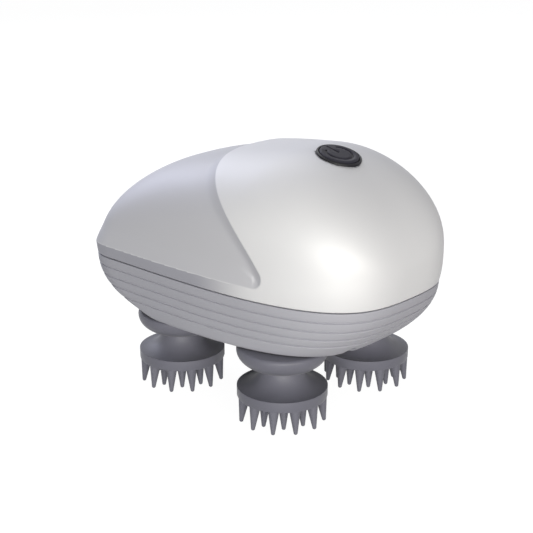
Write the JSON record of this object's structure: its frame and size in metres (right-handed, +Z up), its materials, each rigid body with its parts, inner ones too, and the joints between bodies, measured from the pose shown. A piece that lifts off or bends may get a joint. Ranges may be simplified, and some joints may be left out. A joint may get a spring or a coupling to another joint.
{
  "type": "electric scalp massager",
  "caption": "Palm-held egg-shaped electric scalp massager with a round power button and a ribbed underside over geared, counter-rotating silicone brush heads.",
  "frame": {"origin": "centre of the footprint on the plane the tine tips stand on", "axes": "+X towards the button end along the longest side, +Z up, Y across the symmetry plane of the case"},
  "size_m": [0.131, 0.087, 0.0966],
  "materials": {
    "shell_pearl": "pearl silver lacquered ABS",
    "shell_grey": "satin grey ABS",
    "silicone_slate": "matt slate-grey silicone rubber",
    "button_dark": "satin dark grey ABS",
    "seal_dark": "black nitrile rubber",
    "screw_steel": "zinc-plated steel",
    "shaft_steel": "ground stainless steel",
    "motor_steel": "nickel-plated drawn steel",
    "switch_metal": "tinned steel",
    "tab_nickel": "nickel strip",
    "terminal_brass": "plain brass",
    "bush_bronze": "sintered bronze",
    "rotor_copper": "varnished copper and steel",
    "magnet_dark": "ferrite",
    "abs_white": "moulded white ABS",
    "end_cap_nylon": "natural nylon",
    "gearbox_grey": "glass-filled nylon",
    "gear_acetal": "natural acetal",
    "board_green": "solder-masked board",
    "chip_black": "moulded epoxy",
    "cell_wrap": "shrink sleeve",
    "lead_red": "wire insulation",
    "lead_blue": "wire insulation",
    "lead_amber": "wire insulation"
  },
  "bodies": {
    "case": {"upper_shell": "shell_pearl", "lower_shell": "shell_grey", "shell_gasket": "seal_dark", "case_screws": "screw_steel", "button_ring": "button_dark", "tact_switch": "switch_metal", "circuit_board": "board_green", "board_chips": "chip_black", "board_screws": "screw_steel", "charge_board": "board_green", "charge_socket": "switch_metal", "charge_screws": "screw_steel", "battery_cell": "cell_wrap", "battery_tabs": "tab_nickel", "battery_cradle": "abs_white", "cradle_screws": "screw_steel", "motor_can": "motor_steel", "motor_end_cap": "end_cap_nylon", "motor_terminals": "terminal_brass", "motor_magnets": "magnet_dark", "motor_screws": "screw_steel", "gearbox_base": "gearbox_grey", "gearbox_cover": "gearbox_grey", "gearbox_screws": "screw_steel", "base_bushes": "bush_bronze", "cover_bushes": "bush_bronze", "shaft_seals": "seal_dark", "gear_axles": "shaft_steel", "transfer_axle": "shaft_steel", "battery_leads": "lead_red", "motor_leads": "lead_blue", "charge_leads": "lead_amber"},
    "head_1": {"massage_head_1": "silicone_slate", "head_core_1": "abs_white", "output_shaft_1": "shaft_steel", "head_gear_1": "gear_acetal"},
    "head_2": {"massage_head_2": "silicone_slate", "head_core_2": "abs_white", "output_shaft_2": "shaft_steel", "head_gear_2": "gear_acetal"},
    "head_3": {"massage_head_3": "silicone_slate", "head_core_3": "abs_white", "output_shaft_3": "shaft_steel", "head_gear_3": "gear_acetal"},
    "head_4": {"massage_head_4": "silicone_slate", "head_core_4": "abs_white", "output_shaft_4": "shaft_steel", "head_gear_4": "gear_acetal"},
    "drive_a": {"drive_gear_a": "gear_acetal"},
    "drive_b": {"drive_gear_b": "gear_acetal"},
    "transfer": {"transfer_gear": "gear_acetal"},
    "rotor": {"motor_shaft": "shaft_steel", "rotor_core": "rotor_copper", "motor_pinion": "terminal_brass"},
    "button": {"button_cap": "button_dark", "button_seal": "seal_dark", "switch_plunger": "abs_white"},
    "port_cover": {"port_plug": "silicone_slate"}
  },
  "joints": [
    {"name": "head_1_spin", "type": "hinge", "parent": "case", "child": "head_1", "pos_m": [-0.02579, -0.0244, 0.0375], "axis": [0, 0, 1], "continuous": true},
    {"name": "head_2_spin", "type": "hinge", "parent": "case", "child": "head_2", "pos_m": [0.02679, -0.0244, 0.0375], "axis": [0, 0, 1], "continuous": true},
    {"name": "head_3_spin", "type": "hinge", "parent": "case", "child": "head_3", "pos_m": [0.02679, 0.0244, 0.0375], "axis": [0, 0, 1], "continuous": true},
    {"name": "head_4_spin", "type": "hinge", "parent": "case", "child": "head_4", "pos_m": [-0.02579, 0.0244, 0.0375], "axis": [0, 0, 1], "continuous": true},
    {"name": "drive_a_spin", "type": "hinge", "parent": "case", "child": "drive_a", "pos_m": [0.0005, 0.01733, 0.0375], "axis": [0, 0, 1], "continuous": true},
    {"name": "drive_b_spin", "type": "hinge", "parent": "case", "child": "drive_b", "pos_m": [0.0005, -0.01733, 0.0375], "axis": [0, 0, 1], "continuous": true},
    {"name": "transfer_spin", "type": "hinge", "parent": "case", "child": "transfer", "pos_m": [0.0005, -0.00068, 0.0375], "axis": [0, 0, 1], "continuous": true},
    {"name": "rotor_spin", "type": "hinge", "parent": "case", "child": "rotor", "pos_m": [0.0185, -0.00068, 0.0375], "axis": [0, 0, 1], "continuous": true},
    {"name": "button_press", "type": "slide", "parent": "case", "child": "button", "axis": [-0.2588, 0, -0.9659], "range_m": [0, 0.0005], "stiffness_N_per_m": 900},
    {"name": "port_plug_pull", "type": "slide", "parent": "case", "child": "port_cover", "axis": [-1, 0, 0], "range_m": [0, 0.008]}
  ],
  "couplings": [
    {"joint": "head_2_spin", "follows": "head_1_spin", "ratio": 1},
    {"joint": "head_3_spin", "follows": "head_1_spin", "ratio": -1},
    {"joint": "head_4_spin", "follows": "head_1_spin", "ratio": -1},
    {"joint": "drive_b_spin", "follows": "head_1_spin", "ratio": -0.57143},
    {"joint": "drive_a_spin", "follows": "head_1_spin", "ratio": 0.57143},
    {"joint": "transfer_spin", "follows": "head_1_spin", "ratio": -2.2857},
    {"joint": "rotor_spin", "follows": "head_1_spin", "ratio": 9.1429}
  ]
}
